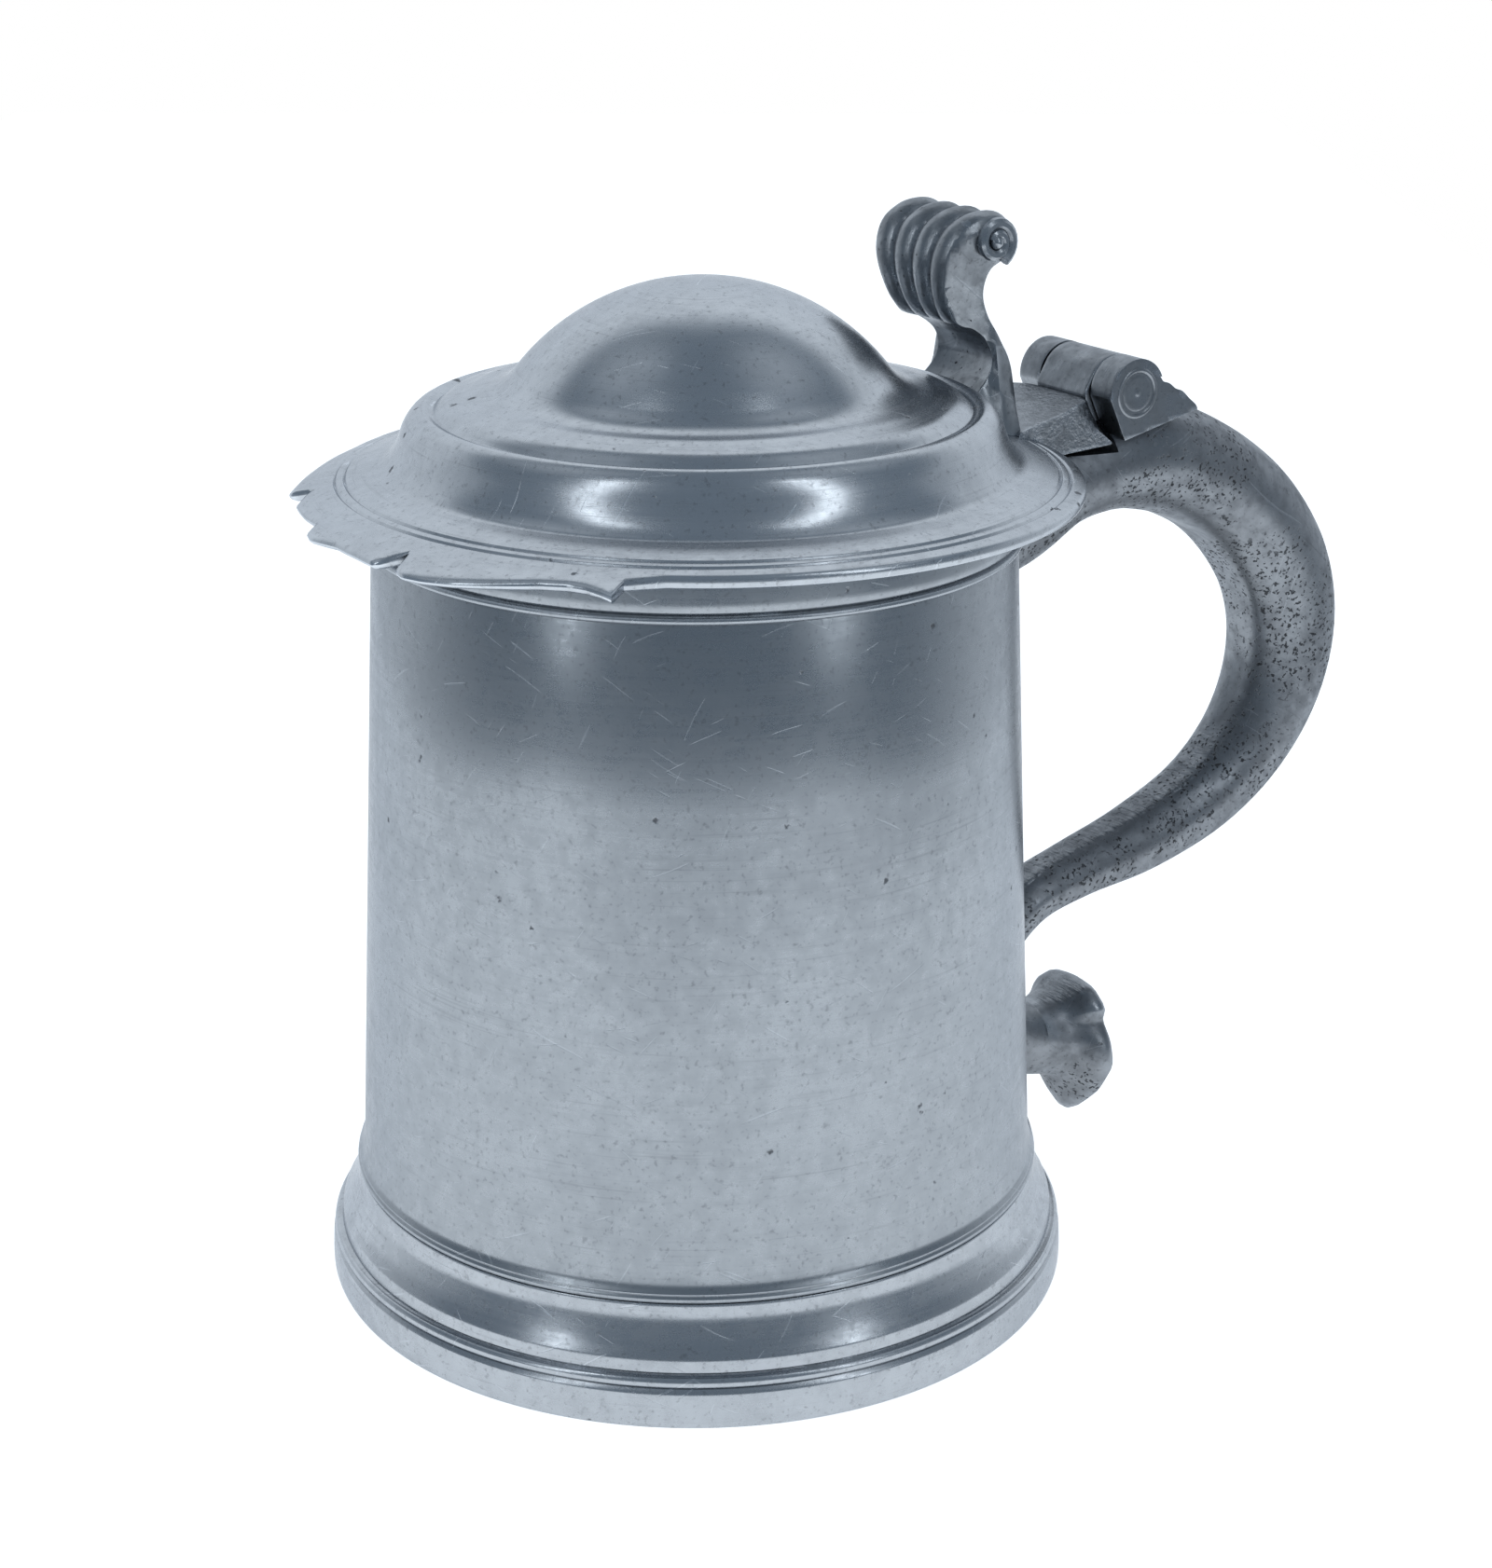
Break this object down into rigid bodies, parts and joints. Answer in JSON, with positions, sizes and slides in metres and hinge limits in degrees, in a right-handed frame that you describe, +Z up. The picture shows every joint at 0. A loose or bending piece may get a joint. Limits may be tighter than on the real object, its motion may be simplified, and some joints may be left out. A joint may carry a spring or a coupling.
{
  "type": "lidded tankard",
  "caption": "Tapered pewter drinking tankard with moulded foot, hinged domed lid with a toothed front, scrolled thumbpiece and curved handle ending in a shield.",
  "frame": {"origin": "under the middle of the whole object's box, on the surface that the foot rests on; the drum's own axis stands 38 mm to -X", "axes": "+Z up, +X from the drum to the handle, Y along the hinge pin; the toothed front of the lid is at -X"},
  "size_m": [0.2103, 0.128, 0.1784],
  "materials": {
    "drum_pewter": "worn pewter with soft sheen, mottled grey patina and fine scratches",
    "turned_pewter": "lathe-turned pewter, polished on the high parts",
    "cast_pewter": "cast pewter, darker, pitted and hand worn",
    "pin_iron": "dull dark iron"
  },
  "bodies": {
    "vessel": {"drum": "drum_pewter", "floor_disc": "drum_pewter", "foot_moulding": "turned_pewter", "handle": "cast_pewter", "handle_tail": "cast_pewter", "hinge_leaf_near": "cast_pewter", "hinge_leaf_far": "cast_pewter", "hinge_pin": "pin_iron", "pin_cap_near": "turned_pewter", "pin_cap_far": "turned_pewter"},
    "lid": {"lid_cover": "turned_pewter", "lid_bezel": "turned_pewter", "thumbpiece": "cast_pewter", "lid_hinge_plate": "cast_pewter", "lid_knuckle": "turned_pewter"}
  },
  "joints": [
    {"name": "lid_hinge", "type": "hinge", "parent": "vessel", "child": "lid", "pos_m": [0.0454, 0, 0.1452], "axis": [0, 1, 0], "range_deg": [0, 135]}
  ]
}
